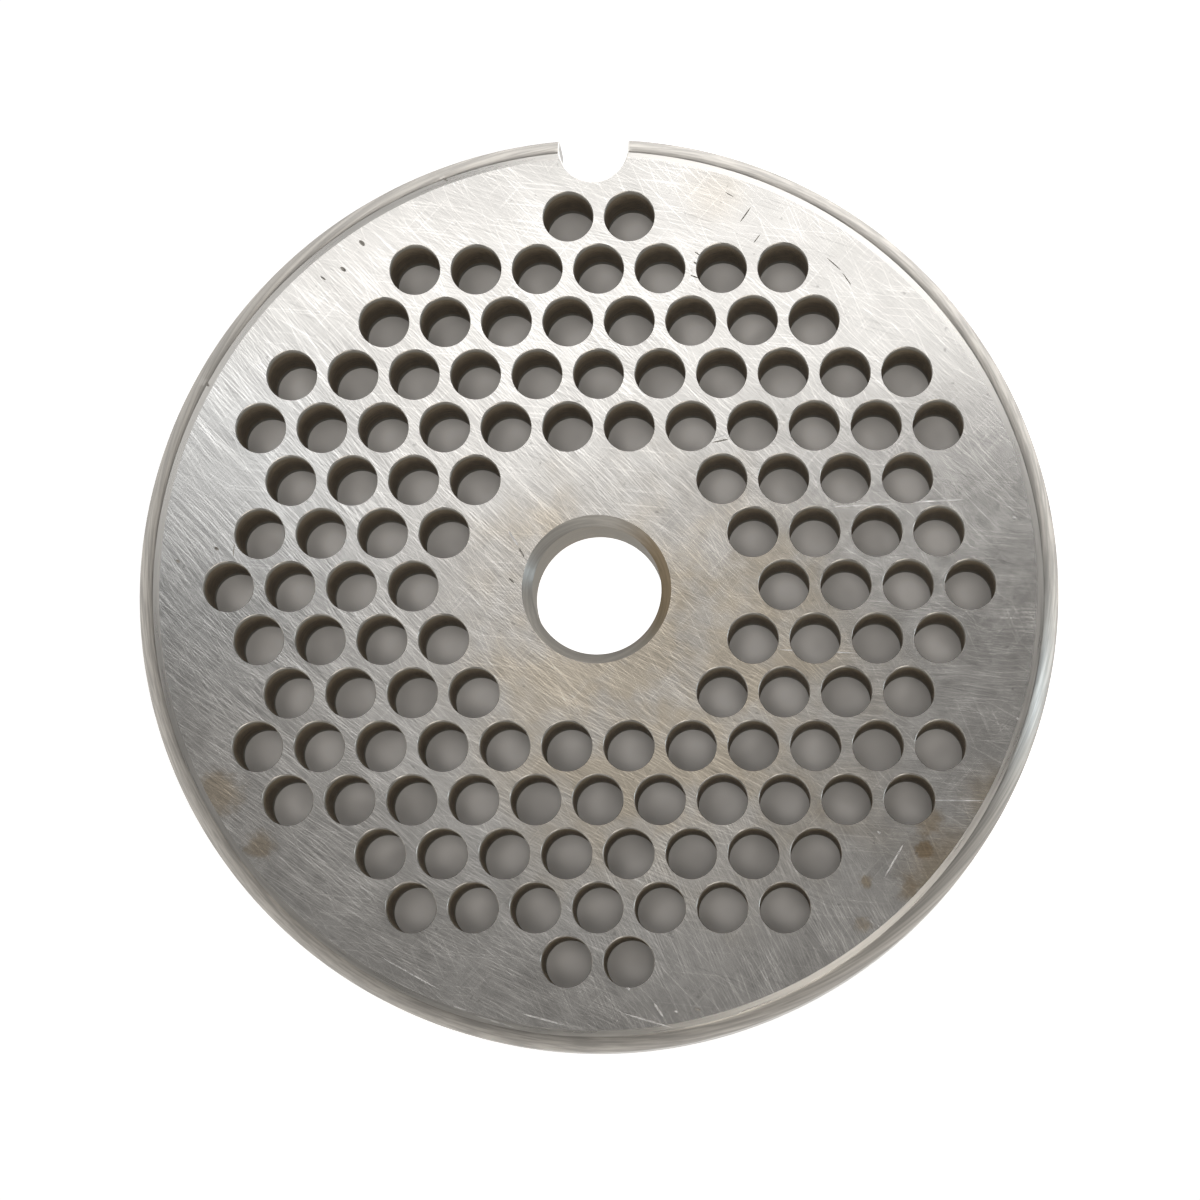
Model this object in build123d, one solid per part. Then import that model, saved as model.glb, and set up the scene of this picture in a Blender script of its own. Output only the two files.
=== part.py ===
from build123d import *
import os
from math import ceil, sqrt

# Meat grinder plate: a round steel plate that the knife of a mincer sweeps across.
# Turned from one blank, drilled with a hexagonal field of round holes, bored in
# the middle for the auger's stud and notched at the rim for the head's locating pin.
# It is reversible, so both faces have the same edges. It lies on its back face on
# the XY plane, with the bore on the Z axis and the notch towards +Y.
# Sizes are in millimetres and angles in degrees.

# The turned blank: a shallow eased band leads from each face to the rim's chamfer
outer_diameter = 82.0
thickness = 9.5
rim_chamfer = 1.3
ease_width = 0.65
ease_drop = 0.12

# The bore for the auger's stud
bore_diameter = 11.5
bore_chamfer = 0.9

# The hole field: a web is the metal between two neighbouring holes, and a land is
# the least metal left between a hole and the edge named
hole_diameter = 4.5
hole_web = 1.0
rim_land = 5.0
hub_land = 4.0
notch_land = 1.2

# How far the drilling jig sat off the turned axis, and its turn from the notch
field_shift_x = 0.15
field_shift_y = 0.3
field_turn = -0.5

# The notch for the locating pin
notch_width = 6.2
notch_depth = 4.1

# Sizes that follow from these
outer_radius = outer_diameter / 2
bore_radius = bore_diameter / 2
hole_radius = hole_diameter / 2
hole_pitch = hole_diameter + hole_web
notch_radius = notch_width / 2
notch_round = Vector(0, outer_radius - notch_depth + notch_radius)


def turned_section():
    """Half-section of the blank as (radius, height) points, from the bore outwards."""
    bore_mouth = bore_radius + bore_chamfer
    shoulder = outer_radius - rim_chamfer
    face_edge = shoulder - ease_width
    rim_start = ease_drop + rim_chamfer
    return [
        (bore_radius, bore_chamfer),
        (bore_mouth, 0),
        (face_edge, 0),
        (shoulder, ease_drop),
        (outer_radius, rim_start),
        (outer_radius, thickness - rim_start),
        (shoulder, thickness - ease_drop),
        (face_edge, thickness),
        (bore_mouth, thickness),
        (bore_radius, thickness - bore_chamfer),
    ]


def blank():
    """The plate as it leaves the lathe: disc, rim edges and chamfered bore."""
    with BuildPart() as turned:
        with BuildSketch(Plane.XZ):
            with BuildLine():
                Polyline(*turned_section(), close=True)
            make_face()
        revolve(axis=Axis.Z)
    return turned.part


def hexagonal_lattice(reach):
    """Points of a hexagonal lattice with rows along X, within a distance of its centre."""
    row_step = hole_pitch * sqrt(3) / 2
    rows = ceil(reach / row_step)
    columns = ceil(reach / hole_pitch)
    points = []
    for row in range(-rows, rows + 1):
        stagger = hole_pitch / 2 * (row % 2)
        for column in range(-columns, columns + 1):
            point = Vector(column * hole_pitch + stagger, row * row_step)
            if point.length <= reach:
                points.append(point)
    return points


def hole_centres():
    """Lattice points that leave their land at the rim, round the bore and at the notch."""
    farthest = outer_radius - rim_land - hole_radius
    nearest = bore_radius + bore_chamfer + hub_land + hole_radius
    clear_of_notch = notch_radius + notch_land + hole_radius
    jig_centre = Vector(field_shift_x, field_shift_y)
    centres = []
    for point in hexagonal_lattice(farthest):
        placed = point.rotate(Axis.Z, field_turn) + jig_centre
        notch_gap = (placed - notch_round).length
        if point.length >= nearest and notch_gap >= clear_of_notch:
            centres.append(placed)
    return centres


def hole_field():
    """All the cutting holes, as one set of cylinders through the plate."""
    with BuildPart() as holes:
        with BuildSketch():
            with Locations(*hole_centres()):
                Circle(hole_radius)
        extrude(amount=thickness)
    return holes.part


def notch():
    """Round-ended slot, open at the rim and through the full thickness."""
    open_end = notch_round + Vector(0, notch_depth)
    with BuildPart() as slot:
        with BuildSketch():
            SlotCenterPoint((notch_round + open_end) * 0.5, open_end, notch_width)
        extrude(amount=thickness)
    return slot.part


plate = blank() - hole_field() - notch()

os.makedirs("parts", exist_ok=True)
export_step(plate, "parts/plate.step")
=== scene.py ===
import math

import bpy
import numpy as np
from mathutils import Matrix, Quaternion, Vector
from mathutils.geometry import delaunay_2d_cdt


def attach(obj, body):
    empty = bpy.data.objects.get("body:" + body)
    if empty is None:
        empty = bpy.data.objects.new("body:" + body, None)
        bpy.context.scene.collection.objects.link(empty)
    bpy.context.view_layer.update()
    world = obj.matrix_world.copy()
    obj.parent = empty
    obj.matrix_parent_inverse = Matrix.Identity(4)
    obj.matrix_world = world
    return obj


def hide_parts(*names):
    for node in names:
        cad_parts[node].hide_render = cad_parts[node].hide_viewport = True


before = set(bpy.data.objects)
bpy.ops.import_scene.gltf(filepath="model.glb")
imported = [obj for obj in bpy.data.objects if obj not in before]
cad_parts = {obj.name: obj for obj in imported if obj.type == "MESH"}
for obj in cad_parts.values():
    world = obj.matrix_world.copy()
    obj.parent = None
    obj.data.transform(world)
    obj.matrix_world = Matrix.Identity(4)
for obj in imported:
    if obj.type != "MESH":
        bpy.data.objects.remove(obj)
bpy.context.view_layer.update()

# A meat grinder plate of ground steel, lying on its back face on a pale studio floor.
# Lengths of the plate are written in millimetres and turned into Blender's metres by MM.
MM = 0.001
TURN = 2 * math.pi

# The plate's sizes, as in the CAD source
OUTER_RADIUS = 41.0
THICKNESS = 9.5
RIM_CHAMFER = 1.3
EASE_WIDTH = 0.65
EASE_DROP = 0.12
BORE_RADIUS = 5.75
BORE_CHAMFER = 0.9
HOLE_RADIUS = 2.25
HOLE_PITCH = 5.5
RIM_LAND = 5.0
HUB_LAND = 4.0
NOTCH_LAND = 1.2
FIELD_SHIFT = (0.15, 0.3)
FIELD_TURN = math.radians(-0.5)
NOTCH_RADIUS = 3.1
NOTCH_DEPTH = 4.1
NOTCH_CENTRE = (0.0, OUTER_RADIUS - NOTCH_DEPTH + NOTCH_RADIUS)

# Fine edges that only the visual model has, and how far its rim stays inside the CAD's
HOLE_BREAK = 0.05
HOLE_BREAK_SHIFT = 0.03
NOTCH_BREAK = 0.12
CORNER_ROUND = 0.09
SKIN = 0.012

# How finely the circles and the notch's straight sides are divided
HOLE_STEPS = 64
BORE_STEPS = 160
RIM_STEPS = 900
NOTCH_STEPS = 48
NOTCH_SIDE_STEPS = 7
NOTCH_OVERRUN = 1.0

# How near a point has to be to count as on a line, and as beside it, and to be one point
ON_LINE = 1e-4
BESIDE = 0.02
SAME_POINT = 1e-5

# What each facet belongs to
FACE, SCORE, DENT, EASE, CHAMFER, RIM = range(6)
HOLE_EDGE, HOLE_WALL, BORE_EDGE, BORE_WALL, NOTCH_EDGE, NOTCH_WALL = range(6, 12)

# Marks on the front face that can be made out one by one: both ends and half-width.
# A score is a bright line that catches the light, and a dent is dull and dark.
SCORES = [
    (10.4, 13.3, 11.9, 13.7, 0.08), (-7.8, 5.3, -6.9, 3.9, 0.09), (20.8, 7.1, 26.4, 7.3, 0.06),
    (27.6, 7.4, 32.7, 7.6, 0.06), (16.1, -5.6, 23.0, -6.0, 0.06), (24.3, -19.0, 34.3, -19.2, 0.06),
    (2.2, -37.6, 6.5, -38.9, 0.07), (4.8, -36.7, 5.6, -37.9, 0.10), (-12.9, -36.8, -11.5, -37.3, 0.08),
    (-11.0, -37.6, -7.4, -38.8, 0.08), (-6.9, -37.5, -2.9, -38.6, 0.08), (-19.3, -32.4, -14.0, -35.4, 0.07),
    (25.2, -25.8, 26.9, -22.9, 0.07), (2.4, -35.3, 2.7, -35.5, 0.09), (6.6, -37.4, 6.9, -37.5, 0.09),
    (24.6, -21.8, 24.9, -22.0, 0.08), (37.0, 6.0, 37.3, 5.9, 0.08), (37.0, -11.9, 37.3, -12.1, 0.09),
]
DENTS = [
    (9.0, 30.3, 9.6, 29.9, 0.06), (8.9, 29.4, 9.3, 29.1, 0.07), (8.6, 28.2, 9.3, 27.9, 0.07),
    (11.8, 35.7, 12.6, 35.2, 0.05), (14.1, 34.3, 13.1, 32.9, 0.06), (14.9, 31.8, 14.3, 31.0, 0.05),
    (20.8, 29.6, 22.1, 28.4, 0.05), (22.2, 28.2, 23.0, 27.0, 0.05), (-21.1, 31.8, -20.6, 31.3, 0.18),
    (-22.8, 29.4, -22.3, 29.0, 0.16), (-34.1, 4.2, -33.7, 3.9, 0.14), (-37.5, 3.1, -37.2, 2.8, 0.13),
    (-32.3, 4.5, -32.4, 3.3, 0.05), (-35.0, 19.2, -34.6, 18.7, 0.12), (-13.6, 37.4, -13.1, 37.1, 0.10),
    (10.4, 13.0, 11.9, 13.3, 0.07), (-6.9, 3.8, -6.4, 2.9, 0.09), (8.4, -37.2, 8.9, -37.4, 0.14),
    (-7.8, 1.1, -7.3, 0.6, 0.07), (-24.6, 28.6, -24.1, 28.2, 0.08),
]

# A mark's sides slope down to its middle line, and its width swells and tapers along it
SCORE_SLOPE = 0.04
DENT_SLOPE = 0.25
MARK_STEPS = np.array([0.0, 0.15, 0.5, 0.85, 1.0])
MARK_SWELL = np.array([0.0, 0.75, 1.0, 0.75, 0.0])

# Patterns move along X and Y by this much for each millimetre of height
BACK_SHIFT = 9.7

# Grinding marks: direction, length and width of a mark, strength, and where they lie
# as the centre, radius and soft edge of an area
GRIND = [
    (-49, 22.0, 0.11, 0.32, (-36, 10, 10, 22)),
    (-43, 12.0, 0.11, 0.25, (-8, 8, 14, 22)),
    (-34, 14.0, 0.11, 0.34, (-34, -16, 9, 16)),
    (-27, 8.0, 0.12, 0.24, (-12, -36, 9, 13)),
    (-62, 8.0, 0.11, 0.23, (12, -36, 10, 16)),
    (-15, 6.0, 0.12, 0.13, (-2, 34, 9, 16)),
    (-42, 6.0, 0.11, 0.12, (30, 20, 9, 18)),
    (-2, 8.0, 0.11, 0.17, (34, -12, 9, 14)),
    (-26, 12.0, 0.11, 0.27, (3, -12, 9, 14)),
]
# Each kind of mark comes as two crossing sets: turn, stretch and seed
CROSSING = ((3, 1.0, 0.0), (-8, 0.5, 900.0))
GRIND_SEED_STEP = 73.1
# Peaks of the marks stand out as hairlines, painted glints in the colour, and the marks are uneven from
# patch to patch.
# Each row goes from one pattern's low and high value to two others.
HAIRLINES = (0.60, 0.80, -0.54, 0.10)
EVENNESS = (0.32, 0.68, 0.5, 1.4)

# Sparser single scratches over the whole face, the bright ones painted glints: direction, length, width,
# strength
SCRATCHES = [
    (-47, 13.0, 0.14, 0.26),
    (-30, 9.0, 0.14, 0.22),
    (-68, 8.0, 0.14, 0.20),
    (-6, 11.0, 0.14, 0.20),
    (-20, 6.0, 0.16, -0.14),
    (48, 6.0, 0.14, 0.14),
]
SCRATCH_EDGE = (0.72, 0.86)
SCRATCH_SEED = 2000.0
SCRATCH_SEED_STEP = 91.3

# A shallow relief along the marks: direction, length and width, and its depth
RELIEF = (-45, 8.0, 0.21)
RELIEF_DEPTH = 0.0008
RELIEF_SEED = 4000.0

# Larger stains of the face, each with its colour: centre, radius and soft edge
COOL_AREA, COOL = (-36, 8, 6, 18), (0.95, 0.975, 1.0, 1)
DULL_AREA, DULL = (-23, 19, 4, 10), (0.92, 0.92, 0.92, 1)
TAN_AREA, TAN = (6, -9, 7, 18), (0.96, 0.88, 0.755, 1)
BROWN = (0.84, 0.73, 0.58, 1)

# Brown blotches near the rim: centre, radius, soft edge and strength
BLOTCHES = [
    (-33.6, -17.8, 0.9, 1.8, 0.8), (-30.0, -22.5, 0.5, 1.2, 0.8), (28.7, -23.6, 0.2, 0.7, 0.9),
    (27.3, -27.0, 0.3, 1.0, 0.7), (23.5, -26.2, 0.1, 0.5, 0.9), (23.4, -30.2, 0.2, 0.8, 0.7),
    (35.6, -19.5, 1.0, 3.5, 0.8), (31.0, -25.5, 1.6, 4.0, 0.85), (10.9, 35.6, 0.6, 3.4, 0.25),
    (29.2, -21.0, 0.4, 1.2, 0.8),
]

# The bore's chamfer is brown at one side, where fat has dried on, and darker on the left
FAT_AREA, FAT = (8, 1, 3, 6), (0.70, 0.58, 0.42, 1)
LEFT_DARK_AREA, LEFT_DARK = (-6, 3.5, 2.5, 5), (0.66, 0.66, 0.66, 1)

# The drilled walls are lighter near the mouths, painted light with some rubbing, down to the first depth,
# fading out by the second
MOUTH_LIGHT_DEPTH = (0.6, 1.6)

# The studio. A glow of 1 shows as white, and the floor is open outside the hole field
# and under the bore. It grows brighter towards the upper right: painted light, as beside a window.
FLOOR_HALF = 3.0
OPEN_GLOW = 0.75
PAINTED_WINDOW_GLOW = 2.6
PAINTED_WINDOW_WAY = (0.5, 0.87, 0.0)
PAINTED_WINDOW_REACH = (30, 90)
# Distances from the plate's middle, each with its soft edge's start and end: the bright
# patch under the bore, the drilled field, beneath which the glow is dimmed into painted shade,
# the start of the white floor with what the glow goes from and to, and the end of the plate's shadow
BORE_GLOW_EDGE = (8.0, 9.5)
FIELD_EDGE = (36.0, 37.0)
WHITE_EDGE = (42, 46, 0.0, 1.05)
SHADOW_EDGE = (46, 49)
# Beneath the field the floor's glow is dimmed into painted shade, lighter towards the back: Y from
# and to, and the glow from and to. Under each hole the painted shade is lightest a little off the
# hole's middle and darkest towards the wall: distance from and to, and the share of the glow from and to.
PAINTED_FIELD_SHADE = (-34, 10, 0.15, 0.20)
PAINTED_LIGHT_SHIFT = 0.35
PAINTED_HOLE_SHADE = (0.5, 2.3, 1.08, 0.50)

# The room's light at the horizon and overhead, and between them as height and brightness
HORIZON = (1.3, 1.22, 1.12, 1)
ZENITH = (0.08, 0.078, 0.076, 1)
SKY_STOPS = ((0.15, 0.72), (0.35, 0.48), (0.7, 0.22), (0.9, 0.09))

# Area lights, in metres and degrees: name, azimuth and zenith angle, distance, width,
# depth, radiance, colour and spin
LIGHTS = [
    ("key", 97.1, 12.3, 1.2, 0.367, 0.127, 2.07, (1.0, 0.995, 0.985), 0.5),
    ("overhead", 117, 5.8, 1.2, 0.175, 0.127, 0.54, (1.0, 0.99, 0.97), -52),
    ("top_band", 72, 31, 1.3, 0.75, 0.36, 3.8, (1.0, 0.99, 0.98), 0),
    ("left_band", 143, 33, 1.3, 0.55, 0.36, 1.3, (1.0, 0.99, 0.98), 0),
    ("warm_left", -140, 55, 1.5, 0.8, 0.8, 0.5, (1.0, 0.93, 0.82), 0),
    ("front", -65, 50, 1.5, 0.6, 0.6, 3.6, (1.0, 0.94, 0.85), 0),
    ("through", -47, 16, 1.3, 0.24, 0.24, 5.5, (1.0, 0.94, 0.86), 0),
    ("window", -8, 84, 1.5, 0.30, 0.4, 5.0, (0.72, 0.88, 1.0), 0),
]

# Where a Mix node keeps its factor and its two colours, and the mixed colour
MIX_INPUTS = (0, 6, 7)
MIX_RESULT = 2

# The photograph's camera: its place and aim in millimetres, and its reach in metres
CAMERA_PLACE = Vector((16.433, -47.778, 407.395))
CAMERA_AIM = Vector((0.3115, -0.9916, 9.5))
CAMERA_ROLL = math.radians(0.4225)
CAMERA_LENS = 135.46
CAMERA_SENSOR = 36.0
CAMERA_CLIP = (0.01, 20.0)


def ring(centre, radius, steps):
    """Points round a circle."""
    angles = np.arange(steps) * TURN / steps
    return np.stack([centre[0] + radius * np.cos(angles), centre[1] + radius * np.sin(angles)], 1)


def hole_centres():
    """The drilled field: a hexagonal lattice less what lies too near an edge."""
    farthest = OUTER_RADIUS - RIM_LAND - HOLE_RADIUS
    nearest = BORE_RADIUS + BORE_CHAMFER + HUB_LAND + HOLE_RADIUS
    clear_of_notch = NOTCH_RADIUS + NOTCH_LAND + HOLE_RADIUS
    row_step = HOLE_PITCH * math.sqrt(3) / 2
    reach = math.ceil(farthest / row_step)
    centres = []
    for row in range(-reach, reach + 1):
        for column in range(-reach, reach + 1):
            x = column * HOLE_PITCH + HOLE_PITCH / 2 * (row % 2)
            y = row * row_step
            if not nearest <= math.hypot(x, y) <= farthest:
                continue
            placed_x = x * math.cos(FIELD_TURN) - y * math.sin(FIELD_TURN) + FIELD_SHIFT[0]
            placed_y = x * math.sin(FIELD_TURN) + y * math.cos(FIELD_TURN) + FIELD_SHIFT[1]
            gap = math.hypot(placed_x - NOTCH_CENTRE[0], placed_y - NOTCH_CENTRE[1])
            if gap >= clear_of_notch:
                centres.append((placed_x, placed_y))
    return np.array(centres)


CENTRES = hole_centres()
MOUTHS = CENTRES + np.array([0.0, HOLE_BREAK_SHIFT])
MOUTH_RADIUS = HOLE_RADIUS + HOLE_BREAK


def rim_profile():
    """Radii at which the rim's slope changes, with the drop below the face at each.

    Each corner is rounded by two points that lie a share of CORNER_ROUND off it.
    """
    shoulder = OUTER_RADIUS - RIM_CHAMFER
    corner = EASE_DROP + RIM_CHAMFER
    return [
        (shoulder - EASE_WIDTH, 0.0),
        (shoulder - CORNER_ROUND, EASE_DROP - 0.1 * CORNER_ROUND),
        (shoulder + CORNER_ROUND * 0.7, EASE_DROP + CORNER_ROUND * 0.75),
        (OUTER_RADIUS - CORNER_ROUND, corner - CORNER_ROUND),
        (OUTER_RADIUS - 0.3 * CORNER_ROUND, corner - 0.1 * CORNER_ROUND),
        (OUTER_RADIUS - SKIN, corner + 0.6 * CORNER_ROUND),
    ]


PROFILE = rim_profile()


def notch_gap(x, y):
    """Distance from the notch's wall, positive in the metal."""
    past_round = np.maximum(y - NOTCH_CENTRE[1], 0.0)
    return np.hypot(x - NOTCH_CENTRE[0], y - NOTCH_CENTRE[1] - past_round) - NOTCH_RADIUS


def drop_below_face(points):
    """How far the surface lies below the face plane at each plan point."""
    x, y = points[:, 0], points[:, 1]
    radius = np.hypot(x, y)
    drop = np.interp(radius, [p[0] for p in PROFILE], [p[1] for p in PROFILE])
    mouth = BORE_RADIUS + BORE_CHAMFER
    drop = np.maximum(drop, np.clip(mouth - radius, 0.0, BORE_CHAMFER))
    drop += np.clip(NOTCH_BREAK - notch_gap(x, y), 0.0, NOTCH_BREAK)
    for centre, mouth_centre in zip(CENTRES, MOUTHS):
        near = np.hypot(x - mouth_centre[0], y - mouth_centre[1]) < MOUTH_RADIUS - ON_LINE
        if near.any():
            gap = np.hypot(x[near] - centre[0], y[near] - centre[1])
            drop[near] = np.where(gap < HOLE_RADIUS + ON_LINE, HOLE_BREAK, 0.0)
    return drop


def mark_outline(mark):
    """A pointed oval round one mark, and the line along its middle."""
    x0, y0, x1, y1, half_width = mark
    run = np.array([x1 - x0, y1 - y0])
    across = np.array([-run[1], run[0]]) / np.hypot(*run) * half_width
    line = np.array([x0, y0]) + MARK_STEPS[:, None] * run
    side = MARK_SWELL[:, None] * across
    return np.concatenate([(line + side), (line - side)[-2:0:-1]]), line[1:-1]


def mark_depth(points, marks, slope):
    """How deep each plan point lies in any of the marks, whose sides have one slope."""
    depth = np.zeros(len(points))
    for x0, y0, x1, y1, half_width in marks:
        run = np.array([x1 - x0, y1 - y0])
        length = np.hypot(*run)
        start = points - np.array([x0, y0])
        along = start @ run / length ** 2
        aside = np.abs(start @ np.array([-run[1], run[0]])) / length
        swell = np.interp(along, MARK_STEPS, MARK_SWELL)
        depth = np.maximum(depth, (swell * half_width - aside) * slope)
    return depth


def notch_outline(offset):
    """Open line round the notch at an offset into the metal, from rim to rim."""
    radius = NOTCH_RADIUS + offset
    angles = math.pi + np.arange(NOTCH_STEPS + 1) * math.pi / NOTCH_STEPS
    arc = np.array(NOTCH_CENTRE) + radius * np.stack([np.cos(angles), np.sin(angles)], 1)
    heights = np.linspace(OUTER_RADIUS + NOTCH_OVERRUN, NOTCH_CENTRE[1], NOTCH_SIDE_STEPS + 1)[:-1]
    left = np.stack([np.full_like(heights, NOTCH_CENTRE[0] - radius), heights], 1)
    right = np.stack([np.full_like(heights, NOTCH_CENTRE[0] + radius), heights[::-1]], 1)
    return np.concatenate([left, arc, right])


def plan_triangles():
    """Triangulates the plate's plan, with an edge wherever the surface folds."""
    points, edges = [], []

    def add(line, closed):
        start = len(points)
        points.extend(map(tuple, line))
        edges.extend((start + i, start + i + 1) for i in range(len(line) - 1))
        if closed:
            edges.append((start + len(line) - 1, start))

    for radius, _drop in PROFILE:
        add(ring((0, 0), radius, RIM_STEPS), True)
    for radius in (BORE_RADIUS, BORE_RADIUS + BORE_CHAMFER):
        add(ring((0, 0), radius, BORE_STEPS), True)
    for centre, mouth_centre in zip(CENTRES, MOUTHS):
        add(ring(centre, HOLE_RADIUS, HOLE_STEPS), True)
        add(ring(mouth_centre, MOUTH_RADIUS, HOLE_STEPS), True)
    for offset in (0.0, NOTCH_BREAK):
        add(notch_outline(offset), False)
    for mark in SCORES + DENTS:
        outline, spine = mark_outline(mark)
        add(outline, True)
        add(spine, False)
    found = delaunay_2d_cdt([Vector(p) for p in points], edges, [], 0, SAME_POINT, False)
    plan = np.array([tuple(v) for v in found[0]])
    triangles = np.array(found[2])
    middle = plan[triangles].mean(1)
    radius = np.hypot(middle[:, 0], middle[:, 1])
    keep = (radius < OUTER_RADIUS) & (radius > BORE_RADIUS * math.cos(math.pi / BORE_STEPS))
    keep &= notch_gap(middle[:, 0], middle[:, 1]) > 0
    for centre in CENTRES:
        gap = np.hypot(middle[:, 0] - centre[0], middle[:, 1] - centre[1])
        keep &= gap > HOLE_RADIUS * math.cos(math.pi / HOLE_STEPS)
    return plan, triangles[keep]


def zone_of(middle):
    """Which surface of a face each facet belongs to, by its middle."""
    x, y = middle[:, 0], middle[:, 1]
    radius = np.hypot(x, y)
    zone = np.full(len(middle), FACE)
    zone[radius < BORE_RADIUS + BORE_CHAMFER] = BORE_EDGE
    zone[radius > PROFILE[0][0]] = EASE
    zone[radius > PROFILE[1][0]] = CHAMFER
    zone[notch_gap(x, y) < NOTCH_BREAK] = NOTCH_EDGE
    for mouth_centre in MOUTHS:
        gap = np.hypot(x - mouth_centre[0], y - mouth_centre[1])
        zone[gap < MOUTH_RADIUS * math.cos(math.pi / HOLE_STEPS)] = HOLE_EDGE
    return zone


def wall_zone(middle):
    """Which wall each upright facet belongs to."""
    x, y = middle[:, 0], middle[:, 1]
    radius = np.hypot(x, y)
    zone = np.full(len(middle), HOLE_WALL)
    zone[radius < BORE_RADIUS + BESIDE] = BORE_WALL
    zone[np.abs(notch_gap(x, y)) < BESIDE] = NOTCH_WALL
    zone[radius > OUTER_RADIUS - BESIDE] = RIM
    return zone


def border_edges(triangles):
    """The edges that only one triangle has, in the direction in which it has them."""
    edges = {}
    for a, b, c in triangles.tolist():
        edges.update({(a, b): None, (b, c): None, (c, a): None})
    return np.array([edge for edge in edges if (edge[1], edge[0]) not in edges])


def plate_mesh():
    """The whole plate, both faces from one plan, and the zone of each of its facets."""
    plan, triangles = plan_triangles()
    used, compact = np.unique(triangles, return_inverse=True)
    plan, triangles = plan[used], compact.reshape(-1, 3)
    count = len(plan)
    drop = drop_below_face(plan)
    marked = mark_depth(plan, SCORES, SCORE_SLOPE) + mark_depth(plan, DENTS, DENT_SLOPE)
    top = np.column_stack([plan, THICKNESS - drop - marked])
    bottom = np.column_stack([plan, drop])
    border = border_edges(triangles)
    walls = np.column_stack([border[:, 1], border[:, 0], border[:, 0] + count, border[:, 1] + count])
    under = triangles[:, ::-1] + count
    middle = plan[triangles].mean(1)
    back = zone_of(middle)
    front = np.where(mark_depth(middle, SCORES, 1.0) > 0, SCORE, back)
    front = np.where(mark_depth(middle, DENTS, 1.0) > 0, DENT, front)
    zones = np.concatenate([front, back, wall_zone(plan[border].mean(1))])
    mesh = bpy.data.meshes.new("ground_plate")
    corners = np.concatenate([top, bottom]) * MM
    mesh.from_pydata(corners.tolist(), [], triangles.tolist() + under.tolist() + walls.tolist())
    mesh.shade_smooth()
    mesh.update()
    mark_folds(mesh, zones)
    return mesh, zones


def mark_folds(mesh, zones):
    """Splits the shading where two surfaces meet and lets it flow within each."""
    beside = {}
    for polygon in mesh.polygons:
        for key in polygon.edge_keys:
            beside.setdefault(key, set()).add(int(zones[polygon.index]))
    sharp = [len(beside[edge.key]) > 1 for edge in mesh.edges]
    flag = mesh.attributes.new("sharp_edge", "BOOLEAN", "EDGE")
    flag.data.foreach_set("value", sharp)


def link(obj):
    bpy.context.scene.collection.objects.link(obj)
    return obj


# --- materials ---------------------------------------------------------------
# Colours are linear red, green, blue and alpha.

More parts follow.
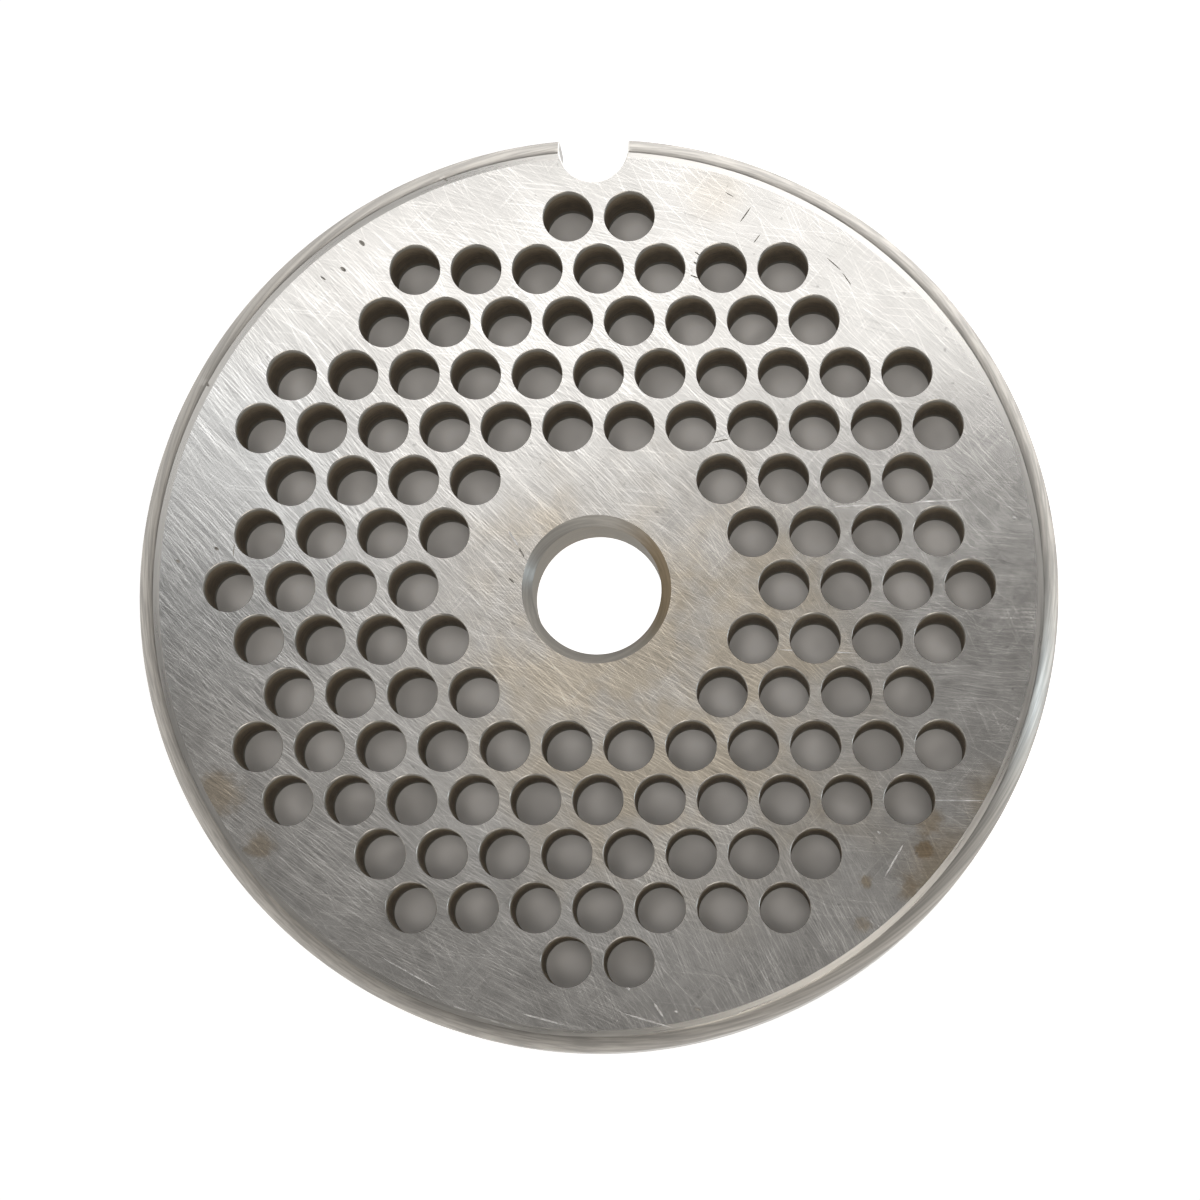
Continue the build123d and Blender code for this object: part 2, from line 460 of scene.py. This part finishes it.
class Graph:
    """Short calls for building a material's nodes. Positions are in millimetres."""

    def __init__(self, name):
        self.material = bpy.data.materials.new(name)
        self.material.use_nodes = True
        self.nodes = self.material.node_tree.nodes
        self.shader = self.nodes["Principled BSDF"]
        coordinates = self.nodes.new("ShaderNodeTexCoord")
        self.place = self.vector("SCALE", coordinates.outputs["Object"], scale=1 / MM)
        self.x, self.y, self.z = self.split(self.place)
        # The back face takes another part of every pattern, so it isn't a copy of the front
        apart = self.math("MULTIPLY", self.z, BACK_SHIFT)
        self.pattern = self.vector("ADD", self.place, self.join(apart, apart, 0.0))
        level = self.vector("MULTIPLY", self.place, (1.0, 1.0, 0.0))
        self.radius = self.vector("LENGTH", level)
        # Places on the back face are turned half round, so its stains lie elsewhere
        side = self.math("SIGN", self.math("SUBTRACT", self.z, THICKNESS / 2))
        self.flat = self.vector("SCALE", level, scale=side)

    def feed(self, socket, value):
        """Links a socket to another node's output, or sets it to a number, place or colour."""
        if isinstance(value, bpy.types.NodeSocket):
            self.material.node_tree.links.new(value, socket)
        elif value is not None:
            socket.default_value = value

    def math(self, operation, a, b=None, c=None):
        node = self.nodes.new("ShaderNodeMath")
        node.operation = operation
        for socket, value in zip(node.inputs, (a, b, c)):
            self.feed(socket, value)
        return node.outputs[0]

    def vector(self, operation, a, b=None, c=None, scale=None):
        node = self.nodes.new("ShaderNodeVectorMath")
        node.operation = operation
        for socket, value in zip(node.inputs, (a, b, c)):
            self.feed(socket, value)
        if scale is not None:
            self.feed(node.inputs["Scale"], scale)
        scalar = operation in ("LENGTH", "DISTANCE", "DOT_PRODUCT")
        return node.outputs["Value" if scalar else "Vector"]

    def split(self, vector):
        node = self.nodes.new("ShaderNodeSeparateXYZ")
        self.feed(node.inputs[0], vector)
        return node.outputs[0], node.outputs[1], node.outputs[2]

    def join(self, x, y, z):
        node = self.nodes.new("ShaderNodeCombineXYZ")
        for socket, value in zip(node.inputs, (x, y, z)):
            self.feed(socket, value)
        return node.outputs[0]

    def noise(self, vector, scale, detail, roughness):
        """Noise from 0 to 1 in all directions."""
        node = self.nodes.new("ShaderNodeTexNoise")
        self.feed(node.inputs["Vector"], vector)
        self.feed(node.inputs["Scale"], scale)
        self.feed(node.inputs["Detail"], detail)
        self.feed(node.inputs["Roughness"], roughness)
        return node.outputs[0]

    def streaks(self, angle, along, across, seed):
        """Noise from 0 to 1 drawn out along a direction in the plate's plane."""
        place = self.nodes.new("ShaderNodeMapping")
        place.vector_type = "TEXTURE"
        self.feed(place.inputs["Vector"], self.pattern)
        place.inputs["Location"].default_value = (seed, -seed, 0.0)
        place.inputs["Rotation"].default_value = (0.0, 0.0, math.radians(angle))
        place.inputs["Scale"].default_value = (along, across, 1.0)
        node = self.nodes.new("ShaderNodeTexNoise")
        node.noise_dimensions = "2D"
        self.feed(node.inputs["Vector"], place.outputs[0])
        node.inputs["Scale"].default_value = 1.0
        node.inputs["Detail"].default_value = 0.0
        return node.outputs[0]

    def ease(self, value, low, high, start=0.0, end=1.0):
        """Smooth step of a value from low to high, onto start to end."""
        node = self.nodes.new("ShaderNodeMapRange")
        node.interpolation_type = "SMOOTHSTEP"
        for socket, number in zip(node.inputs, (value, low, high, start, end)):
            self.feed(socket, number)
        return node.outputs[0]

    def around(self, along, across, seed):
        """Pattern coordinates stretched round the plate's axis, closing at the notch."""
        angle = self.math("ARCTAN2", self.x, self.math("MULTIPLY", self.y, -1.0))
        arc = self.math("MULTIPLY", angle, OUTER_RADIUS / along)
        out = self.math("DIVIDE", self.radius, across)
        up = self.math("MULTIPLY_ADD", self.z, 1 / across, seed)
        return self.join(arc, out, up)

    def waver(self, pattern, reach):
        """A pattern from 0 to 1 as a push in and out, over so many millimetres in all."""
        return self.math("MULTIPLY", self.math("SUBTRACT", pattern, 0.5), reach)

    def spot(self, x, y, radius, soft, ragged=None):
        """One inside a round area, falling to nothing over its soft and maybe ragged edge."""
        gap = self.vector("DISTANCE", self.flat, (x, y, 0))
        if ragged is not None:
            gap = self.math("ADD", gap, ragged)
        return self.ease(gap, radius, radius + soft, 1.0, 0.0)

    def blend(self, factor, a, b, kind="MIX"):
        """Goes from colour a to colour b by a factor."""
        node = self.nodes.new("ShaderNodeMix")
        node.data_type = "RGBA"
        node.blend_type = kind
        for socket, value in zip(MIX_INPUTS, (factor, a, b)):
            self.feed(node.inputs[socket], value)
        return node.outputs[MIX_RESULT]

    def tint(self, factor, a, b):
        """Multiplies colour a by colour b, by a factor."""
        return self.blend(factor, a, b, "MULTIPLY")

    def surface(self, colour, metallic, roughness):
        """Sets what the metal looks like."""
        self.feed(self.shader.inputs["Base Color"], colour)
        self.feed(self.shader.inputs["Metallic"], metallic)
        self.feed(self.shader.inputs["Roughness"], roughness)

    def bump(self, height, depth):
        """Relief of a height from 0 to 1 over a depth in millimetres."""
        node = self.nodes.new("ShaderNodeBump")
        node.inputs["Strength"].default_value = 1.0
        node.inputs["Distance"].default_value = depth * MM
        self.feed(node.inputs["Height"], height)
        self.feed(self.shader.inputs["Normal"], node.outputs[0])


def grain_and_painted_glints(g):
    """Grinding marks as a value about zero: bright scratches above it, which are painted glints, and dull
    ones below, dirt in the scratches.
    """
    total = 0.0
    patches = g.noise(g.pattern, 0.22, 2.0, 0.5)
    evenness = g.ease(patches, *EVENNESS)
    for index, (angle, along, across, strength, where) in enumerate(GRIND):
        reach = g.math("MULTIPLY", g.spot(*where), strength)
        for turn, stretch, seed in CROSSING:
            fine = g.streaks(angle + turn, along * stretch, across, seed + GRIND_SEED_STEP * index)
            # HAIRLINES also takes the streaks' mean to zero
            fine = g.math("ADD", fine, g.ease(fine, *HAIRLINES))
            total = g.math("MULTIPLY_ADD", fine, reach, total)
    total = g.math("MULTIPLY", total, evenness)
    for index, (angle, along, across, strength) in enumerate(SCRATCHES):
        lines = g.streaks(angle, along, across, SCRATCH_SEED + SCRATCH_SEED_STEP * index)
        total = g.math("ADD", g.ease(lines, *SCRATCH_EDGE, 0.0, strength), total)
    return total


def face_steel():
    """The ground faces: crossing grinding marks, bright ones painted glints, a tan stain round the bore,
    cloudy spots.
    """
    g = Graph("ground_steel")
    marks = grain_and_painted_glints(g)
    clouds = g.noise(g.pattern, 0.12, 4.0, 0.6)
    grey, pale = (0.60, 0.586, 0.566, 1), (0.68, 0.666, 0.645, 1)
    colour = g.blend(g.ease(clouds, 0.3, 0.7), grey, pale)
    colour = g.tint(g.spot(*COOL_AREA), colour, COOL)
    colour = g.tint(g.spot(*DULL_AREA), colour, DULL)
    ragged = g.waver(clouds, 22.0)
    blotchy = g.ease(g.noise(g.pattern, 0.16, 3.0, 0.6), 0.35, 0.62, 0.35, 1.15)
    tan = g.math("MULTIPLY", g.spot(*TAN_AREA, ragged), blotchy)
    colour = g.tint(tan, colour, TAN)
    speckle = g.noise(g.pattern, 0.6, 4.0, 0.7)
    uneven = g.waver(speckle, 3.0)
    for x, y, radius, soft, strength in BLOTCHES:
        brown = g.math("MULTIPLY", g.spot(x, y, radius, soft, uneven), strength)
        colour = g.tint(brown, colour, BROWN)
    mottle = g.math("MULTIPLY_ADD", g.math("SUBTRACT", speckle, 0.5), 0.45, 0.985)
    pits = g.ease(g.noise(g.pattern, 1.6, 1.0, 0.5), 0.72, 0.80, 0.0, -0.25)
    # The marks go into the colour: the bright ones are painted glints, the dull ones dirt
    shade = g.math("ADD", g.math("ADD", marks, mottle), pits)
    colour = g.vector("SCALE", colour, scale=g.math("MAXIMUM", shade, 0.05))
    g.surface(colour, 0.74, g.ease(speckle, 0.3, 0.7, 0.135, 0.165))
    g.bump(g.streaks(*RELIEF, RELIEF_SEED), RELIEF_DEPTH)
    return g.material


def eased_steel():
    """The shallow band between face and rim, worn smooth."""
    g = Graph("eased_band")
    patches = g.noise(g.around(6.0, 0.3, 5), 1.0, 2.0, 0.5)
    dull, rubbed_and_painted_light = (0.52, 0.51, 0.49, 1), (0.63, 0.615, 0.59, 1)
    colour = g.blend(g.ease(patches, 0.35, 0.7), dull, rubbed_and_painted_light)
    g.surface(colour, 0.8, g.ease(patches, 0.3, 0.7, 0.27, 0.33))
    g.bump(patches, 0.002)
    return g.material


def score_steel():
    """Single bright scratches, cut clean into the face."""
    g = Graph("bright_score")
    worn = g.noise(g.pattern, 1.5, 2.0, 0.5)
    dull, bright = (0.62, 0.61, 0.60, 1), (0.85, 0.84, 0.83, 1)
    colour = g.blend(g.ease(worn, 0.35, 0.65), dull, bright)
    g.surface(colour, 0.85, g.ease(worn, 0.3, 0.7, 0.29, 0.36))
    return g.material


def dent_steel():
    """Small dents and gouges with dirt in them."""
    g = Graph("dirty_dent")
    dirt = g.noise(g.pattern, 3.0, 2.0, 0.5)
    dirty, clean = (0.15, 0.14, 0.125, 1), (0.40, 0.38, 0.35, 1)
    colour = g.blend(g.ease(dirt, 0.35, 0.65), dirty, clean)
    g.surface(colour, 0.4, g.ease(dirt, 0.3, 0.7, 0.45, 0.6))
    g.bump(dirt, 0.01)
    return g.material


def rim_steel():
    """The turned rim and chamfers: fine rings round the axis."""
    g = Graph("turned_rim")
    marks = g.noise(g.around(5.0, 0.15, 2), 1.0, 2.0, 0.6)
    patches = g.noise(g.pattern, 0.35, 3.0, 0.6)
    dark, light = (0.24, 0.23, 0.216, 1), (0.36, 0.342, 0.316, 1)
    colour = g.blend(g.ease(patches, 0.35, 0.7), dark, light)
    g.surface(colour, 1.0, g.ease(marks, 0.3, 0.7, 0.29, 0.38))
    g.bump(marks, 0.003)
    return g.material


def hole_steel():
    """The drilled walls: dull, dark and brownish, lighter towards the mouths with painted light and some
    rubbing.
    """
    g = Graph("drilled_wall")
    down_the_wall = g.vector("MULTIPLY", g.pattern, (1.0, 1.0, 0.25))
    grime = g.noise(down_the_wall, 1.8, 3.0, 0.7)
    grimy, clean = (0.16, 0.132, 0.096, 1), (0.56, 0.47, 0.353, 1)
    colour = g.blend(g.ease(grime, 0.38, 0.62), grimy, clean)
    # Painted light near the mouths, with some rubbing wear
    rubbed_and_painted_light = (0.48, 0.47, 0.44, 1)
    from_middle = g.math("ABSOLUTE", g.math("SUBTRACT", g.z, THICKNESS / 2))
    full, gone = MOUTH_LIGHT_DEPTH
    near_mouth = g.ease(from_middle, THICKNESS / 2 - gone, THICKNESS / 2 - full)
    colour = g.blend(near_mouth, colour, rubbed_and_painted_light)
    g.surface(colour, 0.15, g.ease(grime, 0.3, 0.7, 0.5, 0.7))
    g.shader.inputs["Specular IOR Level"].default_value = 0.25
    g.bump(g.noise(g.pattern, 3.0, 2.0, 0.5), 0.01)
    return g.material


def hole_edge_steel():
    """The broken edge round each hole's mouth."""
    g = Graph("broken_edge")
    grime = g.noise(g.pattern, 1.4, 3.0, 0.6)
    dark, bright = (0.16, 0.15, 0.14, 1), (0.66, 0.64, 0.60, 1)
    colour = g.blend(g.ease(grime, 0.3, 0.7), dark, bright)
    g.surface(colour, 0.9, g.ease(grime, 0.3, 0.7, 0.3, 0.42))
    return g.material


def bore_edge_steel():
    """The bore's chamfers: turned, darker on the left, and brown where fat has dried on."""
    g = Graph("bore_chamfer")
    marks = g.noise(g.around(20.0, 0.2, 8), 1.0, 2.0, 0.6)
    patches = g.noise(g.pattern, 0.5, 3.0, 0.6)
    dull, bright = (0.44, 0.425, 0.40, 1), (0.56, 0.54, 0.505, 1)
    colour = g.blend(g.ease(patches, 0.35, 0.7), dull, bright)
    uneven = g.waver(patches, 2.0)
    colour = g.tint(g.spot(*FAT_AREA, uneven), colour, FAT)
    colour = g.tint(g.spot(*LEFT_DARK_AREA, uneven), colour, LEFT_DARK)
    g.surface(colour, 0.5, g.ease(marks, 0.3, 0.7, 0.29, 0.38))
    g.bump(marks, 0.002)
    return g.material


def bore_steel():
    """The bore's wall, browned with use."""
    g = Graph("bored_wall")
    patches = g.noise(g.pattern, 0.5, 3.0, 0.6)
    brown, light = (0.25, 0.225, 0.187, 1), (0.37, 0.333, 0.274, 1)
    colour = g.blend(g.ease(patches, 0.35, 0.7), brown, light)
    g.surface(colour, 0.4, g.ease(patches, 0.3, 0.7, 0.5, 0.65))
    g.shader.inputs["Specular IOR Level"].default_value = 0.25
    g.bump(g.noise(g.around(20.0, 0.2, 8), 1.0, 2.0, 0.6), 0.003)
    return g.material


def gap_from_painted_hole_light(g):
    """Distance on the floor from the lightest spot of the painted shade under the nearest hole."""
    lattice = g.nodes.new("ShaderNodeMapping")
    lattice.vector_type = "TEXTURE"
    g.feed(lattice.inputs["Vector"], g.place)
    x, y = FIELD_SHIFT
    lattice.inputs["Location"].default_value = (x + PAINTED_LIGHT_SHIFT, y + PAINTED_LIGHT_SHIFT, 0.0)
    lattice.inputs["Rotation"].default_value = (0.0, 0.0, FIELD_TURN)
    # The lattice is two rectangular ones, of the even rows and of the odd rows
    half_cell = Vector((HOLE_PITCH / 2, HOLE_PITCH * math.sqrt(3) / 2, 1.0))
    even = g.vector("WRAP", lattice.outputs[0], half_cell, -half_cell)
    moved = g.vector("ADD", lattice.outputs[0], half_cell)
    odd = g.vector("WRAP", moved, half_cell, -half_cell)
    flat = (1.0, 1.0, 0.0)
    even, odd = g.vector("MULTIPLY", even, flat), g.vector("MULTIPLY", odd, flat)
    return g.math("MINIMUM", g.vector("LENGTH", even), g.vector("LENGTH", odd))


def floor_material():
    """White to the camera, with the plate's shadow, and with painted shade beneath the drilled field."""
    g = Graph("studio_floor")
    path = g.nodes.new("ShaderNodeLightPath")
    seen = g.math("MAXIMUM", path.outputs["Is Camera Ray"], path.outputs["Is Glossy Ray"])
    seen = g.math("MAXIMUM", seen, path.outputs["Is Transmission Ray"])
    # Beneath the drilled field the glow is dimmed into painted shade, patchy, lighter towards the back and
    # lightest under each hole
    inner = g.ease(g.radius, *BORE_GLOW_EDGE, 1.0, 0.0)
    outer = g.ease(g.radius, *FIELD_EDGE)
    open_floor = g.math("MAXIMUM", inner, outer)
    patches = g.noise(g.pattern, 0.30, 0.0, 0.5)
    painted_shade = g.math("MULTIPLY", g.ease(patches, 0.3, 0.7, 0.80, 1.15), g.ease(g.y, *PAINTED_FIELD_SHADE))
    painted_shade = g.math("MULTIPLY", painted_shade, g.ease(gap_from_painted_hole_light(g), *PAINTED_HOLE_SHADE))
    # Painted light: the open floor is brighter towards the upper right, as beside a window
    side = g.vector("DOT_PRODUCT", g.place, PAINTED_WINDOW_WAY)
    bright = g.ease(side, *PAINTED_WINDOW_REACH, OPEN_GLOW, OPEN_GLOW + PAINTED_WINDOW_GLOW)
    strength = g.math("MULTIPLY_ADD", open_floor, g.math("SUBTRACT", bright, painted_shade), painted_shade)
    whiteness = g.math("MAXIMUM", inner, g.ease(g.radius, *WHITE_EDGE))
    strength = g.math("MAXIMUM", strength, whiteness)
    # The painted shade beneath the field is tinted warm
    painted_shade_tint, white = (1.0, 0.95, 0.89, 1), (1.0, 1.0, 1.0, 1)
    glow = g.nodes.new("ShaderNodeEmission")
    g.feed(glow.inputs["Color"], g.blend(open_floor, painted_shade_tint, white))
    g.feed(glow.inputs["Strength"], g.math("MULTIPLY", strength, seen))
    diffuse = g.nodes.new("ShaderNodeBsdfDiffuse")
    # Far from the plate, where no shadow falls, the camera sees the glow alone
    pale, black = (0.8, 0.8, 0.8, 1), (0.0, 0.0, 0.0, 1)
    far = g.math("MULTIPLY", g.ease(g.radius, *SHADOW_EDGE), path.outputs["Is Camera Ray"])
    g.feed(diffuse.inputs["Color"], g.blend(far, pale, black))
    both = g.nodes.new("ShaderNodeAddShader")
    g.feed(both.inputs[0], diffuse.outputs[0])
    g.feed(both.inputs[1], glow.outputs[0])
    g.feed(g.nodes["Material Output"].inputs["Surface"], both.outputs[0])
    g.nodes.remove(g.shader)
    return g.material


# --- the plate ---------------------------------------------------------------

mesh, zone_of_facet = plate_mesh()
material_of_facet = np.zeros(len(zone_of_facet), np.int32)
for index, (make, zones) in enumerate((
    (face_steel, (FACE,)),
    (score_steel, (SCORE,)),
    (dent_steel, (DENT,)),
    (eased_steel, (EASE, NOTCH_EDGE)),
    (rim_steel, (CHAMFER, RIM, NOTCH_WALL)),
    (hole_steel, (HOLE_WALL,)),
    (hole_edge_steel, (HOLE_EDGE,)),
    (bore_edge_steel, (BORE_EDGE,)),
    (bore_steel, (BORE_WALL,)),
)):
    mesh.materials.append(make())
    material_of_facet[np.isin(zone_of_facet, zones)] = index
mesh.polygons.foreach_set("material_index", material_of_facet)
plate = link(bpy.data.objects.new("ground_plate", mesh))
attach(plate, "root")
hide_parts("plate")


# --- stage -------------------------------------------------------------------

def make_floor():
    """One wide square beneath the plate."""
    mesh = bpy.data.meshes.new("studio_floor")
    corners = [(x * FLOOR_HALF, y * FLOOR_HALF, 0) for x, y in ((-1, -1), (1, -1), (1, 1), (-1, 1))]
    mesh.from_pydata(corners, [], [(0, 1, 2, 3)])
    mesh.materials.append(floor_material())
    floor = link(bpy.data.objects.new("studio_floor", mesh))


def make_world():
    """Room light that is dim overhead and brighter towards the horizon."""
    world = bpy.data.worlds.new("studio_world")
    bpy.context.scene.world = world
    world.use_nodes = True
    nodes, links = world.node_tree.nodes, world.node_tree.links
    way = nodes.new("ShaderNodeTexCoord")
    split = nodes.new("ShaderNodeSeparateXYZ")
    links.new(way.outputs["Generated"], split.inputs[0])
    ramp = nodes.new("ShaderNodeValToRGB")
    ramp.color_ramp.elements[0].position = 0.0
    ramp.color_ramp.elements[0].color = HORIZON
    ramp.color_ramp.elements[1].position = 1.0
    ramp.color_ramp.elements[1].color = ZENITH
    for position, value in SKY_STOPS:
        stop = ramp.color_ramp.elements.new(position)
        stop.color = (value, value * 0.98, value * 0.95, 1)
    links.new(split.outputs["Z"], ramp.inputs["Fac"])
    links.new(ramp.outputs["Color"], nodes["Background"].inputs["Color"])
    nodes["Background"].inputs["Strength"].default_value = 1.0


def softbox(name, azimuth, zenith, distance, size_x, size_y, radiance, colour, spin):
    """An area light aimed at the plate. Azimuth is from +X towards +Y, zenith from +Z."""
    a, z = math.radians(azimuth), math.radians(zenith)
    aim = Vector((math.cos(a) * math.sin(z), math.sin(a) * math.sin(z), math.cos(z)))
    lamp = bpy.data.lights.new(name, "AREA")
    lamp.shape = "RECTANGLE"
    lamp.size, lamp.size_y = size_x, size_y
    lamp.energy = radiance * math.pi * size_x * size_y
    lamp.color = colour
    obj = link(bpy.data.objects.new(name, lamp))
    obj.location = aim * distance
    obj.rotation_mode = "QUATERNION"
    obj.rotation_quaternion = aim.to_track_quat("Z", "Y") @ Quaternion((0, 0, 1), math.radians(spin))


def make_camera():
    """The photograph's view: nearly overhead, a little to the right and from the front."""
    forward = (CAMERA_AIM - CAMERA_PLACE).normalized()
    level_up = (Vector((0, 1, 0)) - forward * forward.y).normalized()
    up = Quaternion(forward, CAMERA_ROLL) @ level_up
    right = forward.cross(up)
    data = bpy.data.cameras.new("photo_camera")
    data.lens = CAMERA_LENS
    data.sensor_width = CAMERA_SENSOR
    data.clip_start, data.clip_end = CAMERA_CLIP
    camera = link(bpy.data.objects.new("photo_camera", data))
    camera.location = CAMERA_PLACE * MM
    camera.rotation_mode = "QUATERNION"
    axes = Matrix((right, up, -forward)).transposed()
    camera.rotation_quaternion = axes.to_quaternion()
    bpy.context.scene.camera = camera


make_floor()
make_world()
for light in LIGHTS:
    softbox(*light)
make_camera()
bpy.context.scene.view_settings.view_transform = "Standard"
